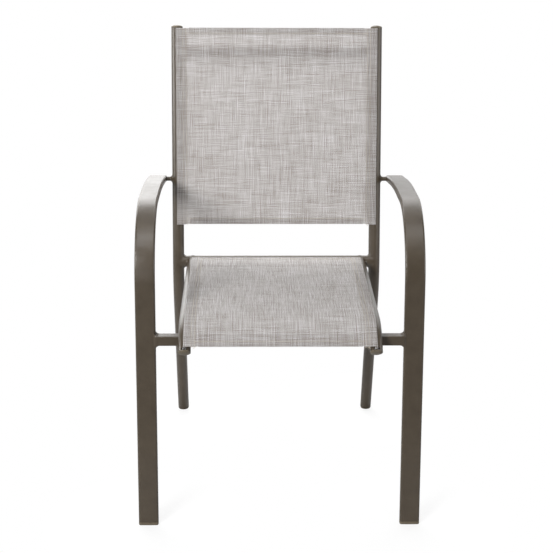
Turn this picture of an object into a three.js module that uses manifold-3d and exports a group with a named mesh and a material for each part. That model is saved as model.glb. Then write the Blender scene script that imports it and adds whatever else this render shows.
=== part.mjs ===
// Stacking patio chair: a welded frame of bent steel tube that carries a woven back sling
// and a woven seat sling. The sling edges slide into slots in the tubes and are held there
// by a rod in a sewn casing. Millimetres, +Z up. The chair faces -Y and left is -X, as seen
// from its front. The origin is on the floor, in the middle of the footprint.

import * as THREE from 'three';
import { mergeVertices } from 'three/addons/utils/BufferGeometryUtils.js';
import Module from 'manifold-3d';

const wasm = await Module();
wasm.setup();

// Fits and fineness
const seatGap = 0.3; // between pieces that touch
const cutOverrun = 6; // how far a cutting solid runs past what it cuts
const bendStep = Math.PI / 24; // turn between two rings of a bend
const bendRun = 36; // and the longest distance between them
const roundSegments = 12; // half the sides of a round tube
const cornerSegments = 2; // half the facets of a rounded corner
const seatingTrials = 40; // halvings when a piece is raised to its seat

// Front leg and arm, one flat tube bent at the knee, with a gentle bend halfway along the
// arm. Places in the side view are measured from the point where the centre line of the
// front leg meets the floor.
const armWidth = 40;
const armThickness = 15;
const armCornerRadius = 4;
const armWall = 1.2;
const kneeHeight = 636; // where the centre lines of leg and arm cross
const kneeSetback = 69;
const kneeRadius = 145;
const armFall = THREE.MathUtils.degToRad(3.2); // slope behind the knee, down to the back
const armBendReach = 284; // from that crossing to the corner of the gentle bend
const armBendRadius = 1150;
const armBendTurn = THREE.MathUtils.degToRad(7.3); // how much steeper the arm falls behind it
const armTail = 16; // how far the arm runs on behind its crossing with the back post

// Round tube of the back posts, the seat rails and the two round crossbars
const tubeDiameter = 25.4;
const tubeWall = 1.2;
const tubeRadius = tubeDiameter / 2;
const boreRadius = tubeRadius - tubeWall;

// Back post and rear leg, one tube
const postSpacing = 441; // centre to centre, left to right
const footSpread = 577; // front foot to rear foot, along the floor
const postBendHeight = 366;
const postBendAdvance = 125.3; // how far the bend lies ahead of the rear foot
const postBendRadius = 200;
const postHeight = 920; // top end of the tube
const backLean = 117; // how far that end leans back behind the bend

// Seat rail, bent down at the front
const railClearance = 7.1; // between the rail and the post beside it
const railDrop = 3; // rear end below the centre of the rear crossbar
const noseRise = 11.2; // above the rear end, where the centre lines of rail and nose cross
const noseSetback = 27.4;
const noseRadius = 105;
const noseTurn = THREE.MathUtils.degToRad(47.5);
const noseTip = 6.7; // straight end after the bend

// Crossbars
const seatBarHeight = 412;
const topBarDrop = 49; // below the top end of the post
const frontBarSize = 20;
const frontBarCornerRadius = 2;
const frontBarWall = 1.2;

// Welded stub between the arm and the back post
const stubDiameter = 9.6;
const stubLength = 13.3; // from the post to the arm
const stubLift = 1; // above the centre line of the arm
const stubArmFlare = 1.8; // growth of the radius at the arm, by the weld
const stubPostFlare = 5.2;
const stubFlareSteps = 5;

// Plastic caps and plugs
const plugStem = 16; // how far a plug reaches into its tube
const frontFootHeight = 6; // floor to the end of the leg tube, along the leg
const frontFootRounding = 3;
const rearFootHeight = 6;
const rearFootRim = 1.5;
const rearFootDome = 7;
const armPlugHeight = 3;
const armPlugRounding = 1.2;
const capRim = 1.5;
const topCapDome = 4.5;
const noseCapDome = 3;
const noseCapStem = 7; // short, because the rail bends close behind it
const domeSteps = 6;
const roundingSteps = 3;

// Slings
const clothThickness = 1.1;
const rodDiameter = 7;
const sideHemWidth = 22; // slot to seam
const backEndHem = 14;
const seatEndHem = 12;
const hemTuck = 0.15; // how far an end hem's second layer lies inside the fold and the casing
const edgeRounding = 1.4; // where the cloth turns into the slot
const backSlingBottom = 496; // height on the centre line of the post
const clothInset = 1; // cloth stops this far short of the tube's end
const noseClothInset = 5.7; // and this far short of the nose
const rodInset = 3; // rod stops this far short of the cloth's end

const armSpacing = postSpacing + tubeDiameter + 2 * stubLength + armWidth;
const railSpacing = postSpacing - 2 * (tubeDiameter + railClearance);
const railRearHeight = seatBarHeight - railDrop;
const noseHeight = railRearHeight + noseRise;

const slotWidth = 2 * clothThickness + 2 * seatGap;
const rodRadius = rodDiameter / 2;
const casingBore = rodRadius + seatGap;
const casingRadius = casingBore + clothThickness;
const casingDepth = boreRadius - seatGap - casingRadius; // centre of the rod, from the tube's axis

const paint = () => new THREE.MeshStandardMaterial({ color: 0x62584d, roughness: 0.42, metalness: 0.35 });
const capPlastic = () => new THREE.MeshStandardMaterial({ color: 0x544b42, roughness: 0.6, metalness: 0 });
const rodPlastic = () => new THREE.MeshStandardMaterial({ color: 0xd8d6d0, roughness: 0.5, metalness: 0 });
const cloth = () => new THREE.MeshStandardMaterial({ color: 0xc3bfbd, roughness: 0.9, metalness: 0 });

// A centre line in a side plane of the chair, held as stations. A section swept along it
// has its x across the chair and its y on the front or upper side of the tube.
class SidePath extends THREE.Curve {
  constructor(stations) {
    super();
    this.stations = stations;
  }

  get steps() {
    return this.stations.length - 1;
  }

  get length() {
    let sum = 0;
    for (let i = 0; i < this.steps; i++) {
      sum += this.stations[i].point.distanceTo(this.stations[i + 1].point);
    }
    return sum;
  }

  station(share) {
    return this.stations[Math.round(share * this.steps)];
  }

  getPoint(share, target = new THREE.Vector3()) {
    return target.copy(this.station(share).point);
  }

  getPointAt(share, target) {
    return this.getPoint(share, target);
  }

  getTangentAt(share, target = new THREE.Vector3()) {
    return target.copy(this.station(share).tangent);
  }

  computeFrenetFrames() {
    const tangents = this.stations.map(({ tangent }) => tangent);
    const normals = tangents.map(() => new THREE.Vector3(-1, 0, 0));
    const binormals = tangents.map((t) => new THREE.Vector3(0, -t.z, t.y));
    return { tangents, normals, binormals };
  }

  // The part of the line between two distances from its start.
  between(from, to) {
    const cut = [];
    let walked = 0;
    for (let i = 0; i < this.steps; i++) {
      const a = this.stations[i];
      const b = this.stations[i + 1];
      const step = a.point.distanceTo(b.point);
      const mix = (distance) => ({
        point: a.point.clone().lerp(b.point, (distance - walked) / step),
        tangent: a.tangent.clone().lerp(b.tangent, (distance - walked) / step).normalize(),
      });
      if (walked < from && from < walked + step) cut.push(mix(from));
      if (from <= walked && walked < to) cut.push(a);
      if (walked < to && to < walked + step) cut.push(mix(to));
      walked += step;
    }
    if (to >= walked) cut.push(this.stations[this.steps]);
    return new SidePath(cut);
  }

  // The same line carried on straight past both ends.
  extended(overrun) {
    const first = this.stations[0];
    const last = this.stations[this.steps];
    const before = { ...first, point: first.point.clone().addScaledVector(first.tangent, -overrun) };
    const after = { ...last, point: last.point.clone().addScaledVector(last.tangent, overrun) };
    return new SidePath([before, ...this.stations, after]);
  }

  // The distance from the start, and the point, where the line first has this coordinate.
  where(axis, value) {
    let walked = 0;
    for (let i = 0; i < this.steps; i++) {
      const a = this.stations[i].point;
      const b = this.stations[i + 1].point;
      const share = (value - a[axis]) / (b[axis] - a[axis]);
      if (share >= 0 && share <= 1) {
        return { distance: walked + share * a.distanceTo(b), point: a.clone().lerp(b, share) };
      }
      walked += a.distanceTo(b);
    }
    throw new Error(`the line never reaches ${axis} = ${value}`);
  }

  distanceTo(point) {
    const nearest = new THREE.Vector3();
    let least = Infinity;
    for (let i = 0; i < this.steps; i++) {
      new THREE.Line3(this.stations[i].point, this.stations[i + 1].point)
        .closestPointToPoint(point, true, nearest);
      least = Math.min(least, nearest.distanceTo(point));
    }
    return least;
  }
}

// Straight runs between corners in the side view, joined by arcs of each corner's radius.
function bentPath(corners) {
  const points = corners.map(({ y, z }) => new THREE.Vector3(0, y, z));
  const direction = (i) => points[i + 1].clone().sub(points[i]).normalize();
  const stations = [{ point: points[0], tangent: direction(0) }];
  for (let i = 1; i < points.length - 1; i++) {
    const before = direction(i - 1);
    const angle = before.angleTo(direction(i));
    const axis = before.clone().cross(direction(i)).normalize();
    const { radius } = corners[i];
    const start = points[i].clone().addScaledVector(before, -radius * Math.tan(angle / 2));
    const centre = start.clone().addScaledVector(axis.clone().cross(before), radius);
    const steps = Math.ceil(Math.max(angle / bendStep, (angle * radius) / bendRun));
    for (let k = 0; k <= steps; k++) {
      const turn = (angle * k) / steps;
      const spoke = start.clone().sub(centre).applyAxisAngle(axis, turn);
      stations.push({
        point: spoke.add(centre),
        tangent: before.clone().applyAxisAngle(axis, turn),
      });
    }
  }
  const last = points.length - 1;
  stations.push({ point: points[last], tangent: direction(last - 1) });
  return new SidePath(stations);
}

function roundedRect(width, height, radius) {
  const shape = new THREE.Shape();
  const x = width / 2 - radius;
  const y = height / 2 - radius;
  shape.absarc(x, y, radius, 0, Math.PI / 2);
  shape.absarc(-x, y, radius, Math.PI / 2, Math.PI);
  shape.absarc(-x, -y, radius, Math.PI, 1.5 * Math.PI);
  shape.absarc(x, -y, radius, 1.5 * Math.PI, 2 * Math.PI);
  shape.closePath();
  return shape;
}

function disc(radius, y = 0) {
  return new THREE.Shape().absarc(0, y, radius, 0, 2 * Math.PI);
}

function rectTubeSection(width, height, radius, wall) {
  const shape = roundedRect(width, height, radius);
  shape.holes.push(roundedRect(width - 2 * wall, height - 2 * wall, radius - wall));
  return shape;
}

function roundTubeSection() {
  const shape = disc(tubeRadius);
  shape.holes.push(disc(boreRadius));
  return shape;
}

// Round tube with the sling slot open along its front or upper side.
function slottedTubeSection() {
  const outer = Math.asin(slotWidth / 2 / tubeRadius);
  const inner = Math.asin(slotWidth / 2 / boreRadius);
  const top = Math.PI / 2;
  const shape = new THREE.Shape();
  shape.absarc(0, 0, tubeRadius, top + outer, top - outer + 2 * Math.PI);
  shape.absarc(0, 0, boreRadius, top - inner + 2 * Math.PI, top + inner, true);
  shape.closePath();
  return shape;
}

function sweep(section, path, curveSegments = roundSegments) {
  return new THREE.ExtrudeGeometry(section, {
    steps: path.steps,
    extrudePath: path,
    curveSegments,
  });
}

// A prism across the chair, centred on x = 0.
function crossPrism(section, length, curveSegments = roundSegments) {
  const prism = new THREE.ExtrudeGeometry(section, { depth: length, bevelEnabled: false, curveSegments });
  return prism.translate(0, 0, -length / 2).rotateY(Math.PI / 2);
}

function solid(geometry) {
  const bare = geometry.clone();
  bare.deleteAttribute('normal');
  bare.deleteAttribute('uv');
  const merged = mergeVertices(bare);
  return new wasm.Manifold(new wasm.Mesh({
    numProp: 3,
    vertProperties: merged.attributes.position.array,
    triVerts: new Uint32Array(merged.index.array),
  }));
}

function geometryOf(manifold) {
  const mesh = manifold.getMesh();
  const geometry = new THREE.BufferGeometry();
  geometry.setAttribute('position', new THREE.BufferAttribute(mesh.vertProperties, 3));
  geometry.setIndex(new THREE.BufferAttribute(mesh.triVerts, 1));
  geometry.computeVertexNormals();
  return geometry;
}

function cut(geometry, ...cutters) {
  return geometryOf(cutters.reduce((rest, cutter) => rest.subtract(solid(cutter)), solid(geometry)));
}

function join(...geometries) {
  return geometryOf(geometries.map(solid).reduce((sum, next) => sum.add(next)));
}

// Everything below the floor, under this piece.
function belowFloor(geometry) {
  geometry.computeBoundingBox();
  const size = geometry.boundingBox.getSize(new THREE.Vector3()).addScalar(2 * cutOverrun);
  const middle = geometry.boundingBox.getCenter(new THREE.Vector3());
  return new THREE.BoxGeometry(size.x, size.y, size.z).translate(middle.x, middle.y, -size.z / 2);
}

// The point of a line in the side view where another line crosses it.
function crossingOf(line, other) {
  const across = new THREE.Vector3(0, -other.tangent.z, other.tangent.y);
  const walked = other.point.clone().sub(line.point).dot(across) / line.tangent.dot(across);
  return line.point.clone().addScaledVector(line.tangent, walked);
}

// Centre lines
const bendSetback = footSpread - postBendAdvance;
const postPath = bentPath([
  { y: footSpread, z: 0 },
  { y: bendSetback, z: postBendHeight, radius: postBendRadius },
  { y: bendSetback + backLean, z: postHeight },
]);
const downAndBack = (slope) => new THREE.Vector3(0, Math.cos(slope), -Math.sin(slope));
const rearArm = {
  point: new THREE.Vector3(0, kneeSetback, kneeHeight)
    .addScaledVector(downAndBack(armFall), armBendReach),
  tangent: downAndBack(armFall + armBendTurn),
};
const armCrossing = crossingOf(rearArm, postPath.stations[postPath.steps]);
const armEnd = armCrossing.clone().addScaledVector(rearArm.tangent, armTail);
const legPath = bentPath([
  { y: 0, z: 0 },
  { y: kneeSetback, z: kneeHeight, radius: kneeRadius },
  { y: rearArm.point.y, z: rearArm.point.z, radius: armBendRadius },
  { y: armEnd.y, z: armEnd.z },
]);
const seatBarPlace = postPath.where('z', seatBarHeight).point;
const topBarPlace = postPath.where('z', postHeight - topBarDrop).point;
const railSlope = Math.atan2(railRearHeight - noseHeight, seatBarPlace.y - noseSetback);
const noseSlope = railSlope + noseTurn;
const noseLength = noseRadius * Math.tan(noseTurn / 2) + noseTip;
const railPath = bentPath([
  {
    y: noseSetback - noseLength * Math.cos(noseSlope),
    z: noseHeight - noseLength * Math.sin(noseSlope),
  },
  { y: noseSetback, z: noseHeight, radius: noseRadius },
  { y: seatBarPlace.y, z: railRearHeight },
]);

// The tube of the leg stands on its foot cap, and the tube of the post on its own.
const legTubePath = legPath.between(frontFootHeight, legPath.length);
const postTubePath = postPath.between(rearFootHeight, postPath.length);

function postEnvelope(x) {
  return sweep(disc(tubeRadius + seatGap), postPath.extended(cutOverrun)).translate(x, 0, 0);
}

function legAndArmTube() {
  const section = rectTubeSection(armWidth, armThickness, armCornerRadius, armWall);
  return sweep(section, legTubePath, cornerSegments);
}

function backPostTube() {
  const slotStart = postPath.where('z', backSlingBottom).distance - seatGap;
  const slotPath = postPath.extended(cutOverrun).between(slotStart + cutOverrun, Infinity);
  const slotBottom = boreRadius - cutOverrun / 2;
  const slotTop = tubeRadius + cutOverrun;
  const slot = new THREE.Shape();
  slot.moveTo(-slotWidth / 2, slotBottom);
  slot.lineTo(slotWidth / 2, slotBottom);
  slot.lineTo(slotWidth / 2, slotTop);
  slot.lineTo(-slotWidth / 2, slotTop);
  slot.closePath();
  return cut(sweep(roundTubeSection(), postTubePath), sweep(slot, slotPath));
}

function seatRailTube() {
  const bar = crossPrism(disc(tubeRadius + seatGap), tubeDiameter + 2 * cutOverrun);
  return cut(sweep(slottedTubeSection(), railPath), bar.translate(0, seatBarPlace.y, seatBarPlace.z));
}

// A round crossbar whose ends are mitred to hug the back posts.
function roundCrossbar(place) {
  const bar = crossPrism(roundTubeSection(), postSpacing).translate(0, place.y, place.z);
  return cut(bar, postEnvelope(-postSpacing / 2), postEnvelope(postSpacing / 2));
}

// The square bar is raised between the front legs until its front top edge meets the rails.
function frontBarPlace() {
  const corner = frontBarSize / 2 - frontBarCornerRadius;
  const reach = tubeRadius + seatGap + frontBarCornerRadius;
  let low = 0;
  let high = noseHeight;
  for (let trial = 0; trial < seatingTrials; trial++) {
    const height = (low + high) / 2;
    const { y } = legPath.where('z', height).point;
    const edge = new THREE.Vector3(0, y - corner, height + corner);
    if (edge.z < noseHeight && railPath.distanceTo(edge) > reach) {
      low = height;
    } else {
      high = height;
    }
  }
  return legPath.where('z', low).point;
}

function frontCrossbar() {
  const section = rectTubeSection(frontBarSize, frontBarSize, frontBarCornerRadius, frontBarWall);
  return crossPrism(section, armSpacing - armWidth - 2 * seatGap, cornerSegments);
}

// A short bar across the gap, flared by its welds, hollowed to hug the round post.
function armStub(side) {
  const armFace = armSpacing / 2 - armWidth / 2 - seatGap;
  const postFace = postSpacing / 2 + tubeRadius;
  const bar = stubDiameter / 2;
  const profile = [new THREE.Vector2(0, postSpacing / 2)];
  profile.push(new THREE.Vector2(bar + stubPostFlare, postSpacing / 2));
  for (let k = 0; k <= stubFlareSteps; k++) {
    const turn = (k / stubFlareSteps) * (Math.PI / 2);
    profile.push(new THREE.Vector2(
      bar + stubPostFlare * (1 - Math.sin(turn)),
      postFace + stubPostFlare * (1 - Math.cos(turn)),
    ));
  }
  for (let k = 0; k <= stubFlareSteps; k++) {
    const turn = (k / stubFlareSteps) * (Math.PI / 2);
    profile.push(new THREE.Vector2(
      bar + stubArmFlare * (1 - Math.cos(turn)),
      armFace - stubArmFlare * (1 - Math.sin(turn)),
    ));
  }
  profile.push(new THREE.Vector2(0, armFace));
  const spool = new THREE.LatheGeometry(profile, 2 * roundSegments).rotateZ(-side * Math.PI / 2);
  spool.translate(0, armCrossing.y, armCrossing.z + stubLift);
  return cut(spool, postEnvelope(side * postSpacing / 2));
}

// Local frame at a tube's end: z points out of the tube, y to its front or upper side.
function endFrame(path, atStart) {
  const { point, tangent } = path.stations[atStart ? 0 : path.steps];
  const out = tangent.clone().multiplyScalar(atStart ? -1 : 1);
  const front = new THREE.Vector3(0, -tangent.z, tangent.y);
  const across = front.clone().cross(out);
  return new THREE.Matrix4().makeBasis(across, front, out).setPosition(point);
}

// A plug in the end of the flat tube: a flange of the tube's outline over a fitting stem.
function flatPlug(height, rounding) {
  const flange = new THREE.ExtrudeGeometry(roundedRect(armWidth, armThickness, armCornerRadius), {
    depth: height - 2 * rounding,
    bevelThickness: rounding,
    bevelSize: rounding,
    bevelOffset: -rounding,
    bevelSegments: roundingSteps,
    curveSegments: cornerSegments,
  }).translate(0, 0, rounding + seatGap);
  const inset = 2 * (armWall + seatGap);
  const stemOutline = roundedRect(armWidth - inset, armThickness - inset, armCornerRadius - armWall);
  const stem = new THREE.ExtrudeGeometry(stemOutline, {
    depth: plugStem + seatGap + rounding,
    bevelEnabled: false,
    curveSegments: cornerSegments,
  }).translate(0, 0, -plugStem);
  return join(flange, stem);
}

// A domed cap on a round tube. Its stem fills the bore, or is a peg behind the sling's rod.
function roundCap(rim, dome, stemReach, besideRod) {
  const profile = [new THREE.Vector2(0, seatGap), new THREE.Vector2(tubeRadius, seatGap)];
  for (let k = 0; k <= domeSteps; k++) {
    const turn = (k / domeSteps) * (Math.PI / 2);
    profile.push(new THREE.Vector2(
      k === domeSteps ? 0 : tubeRadius * Math.cos(turn),
      seatGap + rim + dome * Math.sin(turn),
    ));
  }
  const head = new THREE.LatheGeometry(profile, 2 * roundSegments).rotateX(Math.PI / 2);
  const freeDepth = boreRadius + (besideRod ? casingDepth - casingRadius : boreRadius);
  const stemRadius = freeDepth / 2 - seatGap;
  const stemLength = stemReach + seatGap + rim;
  const stem = new THREE.CylinderGeometry(stemRadius, stemRadius, stemLength, 2 * roundSegments)
    .rotateX(Math.PI / 2)
    .translate(0, stemRadius + seatGap - boreRadius, stemLength / 2 - stemReach);
  return join(head, stem);
}

function frontFootCap() {
  const height = frontFootHeight + armThickness / 2 * legPath.stations[0].tangent.y;
  const cap = flatPlug(height, frontFootRounding).applyMatrix4(endFrame(legTubePath, true));
  return cut(cap, belowFloor(cap));
}

function rearFootCap() {
  const cap = roundCap(rearFootRim, rearFootDome, plugStem, false)
    .applyMatrix4(endFrame(postTubePath, true));
  return cut(cap, belowFloor(cap));
}

// Section of a sling across the chair: single cloth between the seams, doubled outside
// them, then down through the slots and round the rods.
function slingSection(spacing) {
  const slot = spacing / 2;
  const seam = slot - sideHemWidth;
  const back = tubeRadius + seatGap;
  const face = back + 2 * clothThickness;
  const turn = slot + clothThickness - edgeRounding;
  const neck = Math.asin(clothThickness / casingRadius);
  const casing = (x) => shape.absarc(
    x, casingDepth, casingRadius, Math.PI / 2 + neck, 2.5 * Math.PI - neck,
  );
  const shape = new THREE.Shape();
  shape.moveTo(-seam, face - clothThickness);
  shape.lineTo(seam, face - clothThickness);
  shape.lineTo(seam, back);
  shape.lineTo(slot - clothThickness, back);
  casing(slot);
  shape.absarc(turn, face - edgeRounding, edgeRounding, 0, Math.PI / 2);
  shape.absarc(-turn, face - edgeRounding, edgeRounding, Math.PI / 2, Math.PI);
  casing(-slot);
  shape.lineTo(clothThickness - slot, back);
  shape.lineTo(-seam, back);
  shape.closePath();
  for (const x of [-slot, slot]) {
    shape.holes.push(new THREE.Path().absarc(x, casingDepth, casingBore, 0, 2 * Math.PI));
  }
  return shape;
}

// The second layer of cloth behind an end hem, let into the sling around it.
function endHemSection(spacing) {
  const halfWidth = spacing / 2 - sideHemWidth + clothThickness;
  const back = tubeRadius + seatGap;
  const shape = new THREE.Shape();
  shape.moveTo(-halfWidth, back + hemTuck);
  shape.lineTo(halfWidth, back + hemTuck);
  shape.lineTo(halfWidth, back + clothThickness + hemTuck);
  shape.lineTo(-halfWidth, back + clothThickness + hemTuck);
  shape.closePath();
  return shape;
}

function sling(spacing, path, endHem) {
  const hem = endHemSection(spacing);
  const { length } = path;
  return join(
    sweep(slingSection(spacing), path, roundSegments / 2),
    sweep(hem, path.between(hemTuck, endHem)),
    sweep(hem, path.between(length - endHem, length - hemTuck)),
  );
}

function slingRod(path) {
  return sweep(disc(rodRadius, casingDepth), path.between(rodInset, path.length - rodInset), roundSegments / 2);
}

const backClothPath = postPath.between(
  postPath.where('z', backSlingBottom).distance,
  postPath.length - clothInset,
);
const seatClothPath = railPath.between(
  noseClothInset,
  railPath.length - tubeRadius - seatGap - clothInset,
);

const frame = new THREE.Group();

function add(name, geometry, material, x = 0) {
  const mesh = new THREE.Mesh(geometry, material);
  mesh.name = name;
  mesh.position.x = x;
  frame.add(mesh);
  return mesh;
}

// A plug keeps its own geometry and is set on the end of its tube.
function addAtEnd(name, geometry, path, atStart, x) {
  const mesh = add(name, geometry, capPlastic());
  mesh.applyMatrix4(endFrame(path, atStart));
  mesh.position.x = x;
}

for (const [hand, side] of [['left', -1], ['right', 1]]) {
  const armX = side * armSpacing / 2;
  const postX = side * postSpacing / 2;
  const railX = side * railSpacing / 2;
  add(`front_leg_and_arm_${hand}`, legAndArmTube(), paint(), armX);
  add(`back_post_${hand}`, backPostTube(), paint(), postX);
  add(`seat_rail_${hand}`, seatRailTube(), paint(), railX);
  add(`arm_stub_${hand}`, armStub(side), paint());
  add(`front_foot_cap_${hand}`, frontFootCap(), capPlastic(), armX);
  add(`rear_foot_cap_${hand}`, rearFootCap(), capPlastic(), postX);
  const armPlug = flatPlug(armPlugHeight, armPlugRounding);
  const topCap = roundCap(capRim, topCapDome, plugStem, true);
  const noseCap = roundCap(capRim, noseCapDome, noseCapStem, true);
  addAtEnd(`arm_end_plug_${hand}`, armPlug, legTubePath, false, armX);
  addAtEnd(`post_top_cap_${hand}`, topCap, postTubePath, false, postX);
  addAtEnd(`seat_rail_end_plug_${hand}`, noseCap, railPath, true, railX);
  add(`back_sling_rod_${hand}`, slingRod(backClothPath), rodPlastic(), postX);
  add(`seat_sling_rod_${hand}`, slingRod(seatClothPath), rodPlastic(), railX);
}
add('rear_seat_crossbar', roundCrossbar(seatBarPlace), paint());
add('back_top_crossbar', roundCrossbar(topBarPlace), paint());
const frontBar = add('front_seat_crossbar', frontCrossbar(), paint());
frontBar.position.copy(frontBarPlace());
add('back_sling', sling(postSpacing, backClothPath, backEndHem), cloth());
add('seat_sling', sling(railSpacing, seatClothPath, seatEndHem), cloth());

// Stand the chair with the origin on the floor under the middle of its box.
const middle = new THREE.Box3().setFromObject(frame, true).getCenter(new THREE.Vector3());
frame.position.y = -middle.y;

const chair = new THREE.Group();
chair.add(frame);
export default chair;
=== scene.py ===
# A stacking patio chair: a welded frame of bent steel tube under a satin taupe-brown powder
# coat, with a woven back sling and a woven seat sling held in slots of the tubes. Metres,
# +Z up, the chair faces -Y, left is -X as seen from its front, the origin is on the floor
# under the middle of the chair.

from math import asin, atan, cos, pi, radians, sin, sqrt, tan

import bmesh
import bpy
import numpy as np
from mathutils import Matrix, Vector


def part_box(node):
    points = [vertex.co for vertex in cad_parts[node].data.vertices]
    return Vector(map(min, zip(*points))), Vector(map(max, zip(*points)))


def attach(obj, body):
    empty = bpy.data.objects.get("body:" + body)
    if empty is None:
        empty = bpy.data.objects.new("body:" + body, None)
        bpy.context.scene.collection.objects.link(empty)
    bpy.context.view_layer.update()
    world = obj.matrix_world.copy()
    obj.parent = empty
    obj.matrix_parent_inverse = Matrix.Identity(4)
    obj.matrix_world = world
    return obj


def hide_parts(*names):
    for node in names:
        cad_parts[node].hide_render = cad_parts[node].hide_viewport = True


SIDES = (("left", -1), ("right", 1))
TINY = 1e-6

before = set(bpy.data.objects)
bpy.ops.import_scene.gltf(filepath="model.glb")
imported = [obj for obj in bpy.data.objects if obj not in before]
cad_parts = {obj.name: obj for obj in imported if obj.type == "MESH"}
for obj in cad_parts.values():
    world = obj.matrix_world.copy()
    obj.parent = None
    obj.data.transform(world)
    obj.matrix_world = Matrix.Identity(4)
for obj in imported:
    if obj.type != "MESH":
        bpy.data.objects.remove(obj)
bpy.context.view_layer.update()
rng = np.random.default_rng(11)


def centre(node):
    low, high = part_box(node)
    return (low + high) / 2


def extent(node):
    low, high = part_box(node)
    return high - low


# Fineness
BEND_STEP = radians(2.5)
BEND_RUN = 0.012  # longest step along a gentle bend
ROUND_SIDES = 64
CORNER_STEPS = 8
FACE_STEPS = 14  # across a crowned face

# Tube sections
TUBE_RADIUS = extent("back_post_left").x / 2
WALL = 0.0012
BORE_RADIUS = TUBE_RADIUS - WALL
ARM_WIDTH = extent("front_leg_and_arm_left").x
ARM_THICKNESS = 0.015
ARM_CORNER = 0.004
ARM_INNER_CORNER = 0.0004  # sharpest corner of the bore
ARM_CROWN = 0.00045  # how far the wide faces bulge
BAR_SIZE = extent("front_seat_crossbar").z
BAR_CORNER = 0.002
SEAM_GAP = 0.0003  # between pieces that touch

# Places across the chair
ARM_X = centre("front_leg_and_arm_right").x
ARM_FACE = ARM_X - ARM_WIDTH / 2
POST_X = centre("back_post_right").x
RAIL_X = centre("seat_rail_right").x

# Side view of the leg and arm tube, from the foot of its centre line
KNEE = (0.069, 0.636)
KNEE_RADIUS = 0.145
ARM_FALL = radians(3.2)  # behind the knee
ARM_BEND_REACH = 0.284  # from the knee's corner to the corner of the gentle bend
ARM_BEND_RADIUS = 1.15
ARM_BEND_TURN = radians(7.3)
ARM_TAIL = 0.016
FOOT_CAP_HEIGHT = 0.006

# Side view of the post tube
FOOT_SPREAD = 0.577
POST_BEND = (0.4517, 0.366)
POST_BEND_RADIUS = 0.200
POST_TOP = (0.5687, 0.920)

# Side view of the seat rail
SEAT_BAR_HEIGHT = centre("rear_seat_crossbar").z
TOP_BAR_HEIGHT = centre("back_top_crossbar").z
RAIL_REAR_HEIGHT = SEAT_BAR_HEIGHT - 0.003
NOSE = (0.0274, 0.4202)
NOSE_RADIUS = 0.105
NOSE_TURN = radians(47.5)
NOSE_TIP = 0.0067

# Slings
CLOTH = 0.0011
SLOT = 2 * CLOTH + 2 * SEAM_GAP
ROD_RADIUS = 0.0035
CASING_RADIUS = ROD_RADIUS + SEAM_GAP + CLOTH / 2  # middle of the cloth round the rod
CASING_DEPTH = BORE_RADIUS - SEAM_GAP - (ROD_RADIUS + SEAM_GAP + CLOTH)
SIDE_HEM = 0.022
BACK_END_HEM = 0.014
SEAT_END_HEM = 0.012
BACK_SLING_BOTTOM = 0.496
CLOTH_INSET = 0.001
NOSE_CLOTH_INSET = 0.0057
FOLD_OUT = 0.0021  # outer fold of the cloth, outside the middle of the slot
SHOULDER = 0.0019  # rounding of the cloth where it turns down into the slot
REAR_LIP = 0.0042  # how far the seat cloth laps over the rear crossbar
CASING_TAIL = 0.0035  # how far its casings run on at the nose
CORNER_DROP = 0.0018  # how far the thick corners of a hem hang past its edge
NOTCH = 0.0105  # width of the slot at the nose, where the rod goes in
NOTCH_LENGTH = 0.0048
NOTCH_STEP = 0.001  # length over which the notch narrows to the slot


def unit(v):
    return v / np.linalg.norm(v)


def turned(v, angle):
    c, s = cos(angle), sin(angle)
    return np.array((c * v[0] - s * v[1], s * v[0] + c * v[1]))


def turn_between(a, b):
    return float(np.arctan2(a[0] * b[1] - a[1] * b[0], a @ b))


def square_to(way):
    """A quarter turn on from a direction in the side plane."""
    return np.array((-way[1], way[0]))


def half_chord(radius, offset):
    return sqrt(max(radius**2 - offset**2, 0.0))


class SideLine:
    """A centre line in a side plane, (y, z) points with the direction at each."""

    def __init__(self, corners):
        spots = [np.array(c[:2], float) for c in corners]
        points, ways = [spots[0]], [unit(spots[1] - spots[0])]
        for before, spot, after, corner in zip(spots, spots[1:], spots[2:], corners[1:]):
            way = unit(spot - before)
            turn = turn_between(way, unit(after - spot))
            radius = corner[2]
            start = spot - way * radius * tan(abs(turn) / 2)
            middle = start + square_to(way) * np.sign(turn) * radius
            steps = int(np.ceil(max(2, abs(turn) / BEND_STEP, abs(turn) * radius / BEND_RUN)))
            for k in range(steps + 1):
                angle = turn * k / steps
                points.append(middle + turned(start - middle, angle))
                ways.append(turned(way, angle))
        points.append(spots[-1])
        ways.append(unit(spots[-1] - spots[-2]))
        self.points = np.array(points)
        self.ways = np.array(ways)
        self.marks = distances_along(self.points)
        self.length = self.marks[-1]

    def at(self, distance):
        inside = min(max(distance, 0.0), self.length)
        point = np.array([np.interp(inside, self.marks, self.points[:, k]) for k in (0, 1)])
        way = unit(np.array([np.interp(inside, self.marks, self.ways[:, k]) for k in (0, 1)]))
        return point + way * (distance - inside), way

    def where(self, axis, value):
        column = self.points[:, axis]
        for a, b, mark_a, mark_b in zip(column, column[1:], self.marks, self.marks[1:]):
            if a != b and 0 <= (value - a) / (b - a) <= 1:
                return mark_a + (value - a) / (b - a) * (mark_b - mark_a)
        raise ValueError(f"the line never reaches {value}")

    def stations(self, start, end, longest=None):
        inner = [m for m in self.marks if start + TINY < m < end - TINY]
        marks = [start, *inner, end]
        if longest is None:
            return marks
        full = []
        for a, b in zip(marks, marks[1:]):
            count = max(1, int(np.ceil((b - a) / longest)))
            full += [a + (b - a) * k / count for k in range(count)]
        return full + [end]

    def ring(self, distance, section, x):
        """World points of a section, its x across the chair, its y to the front or upper side."""
        point, way = self.at(distance)
        out, up = np.asarray(section).T
        return np.stack([x + out, point[0] - up * way[1], point[1] + up * way[0]], axis=1)


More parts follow.
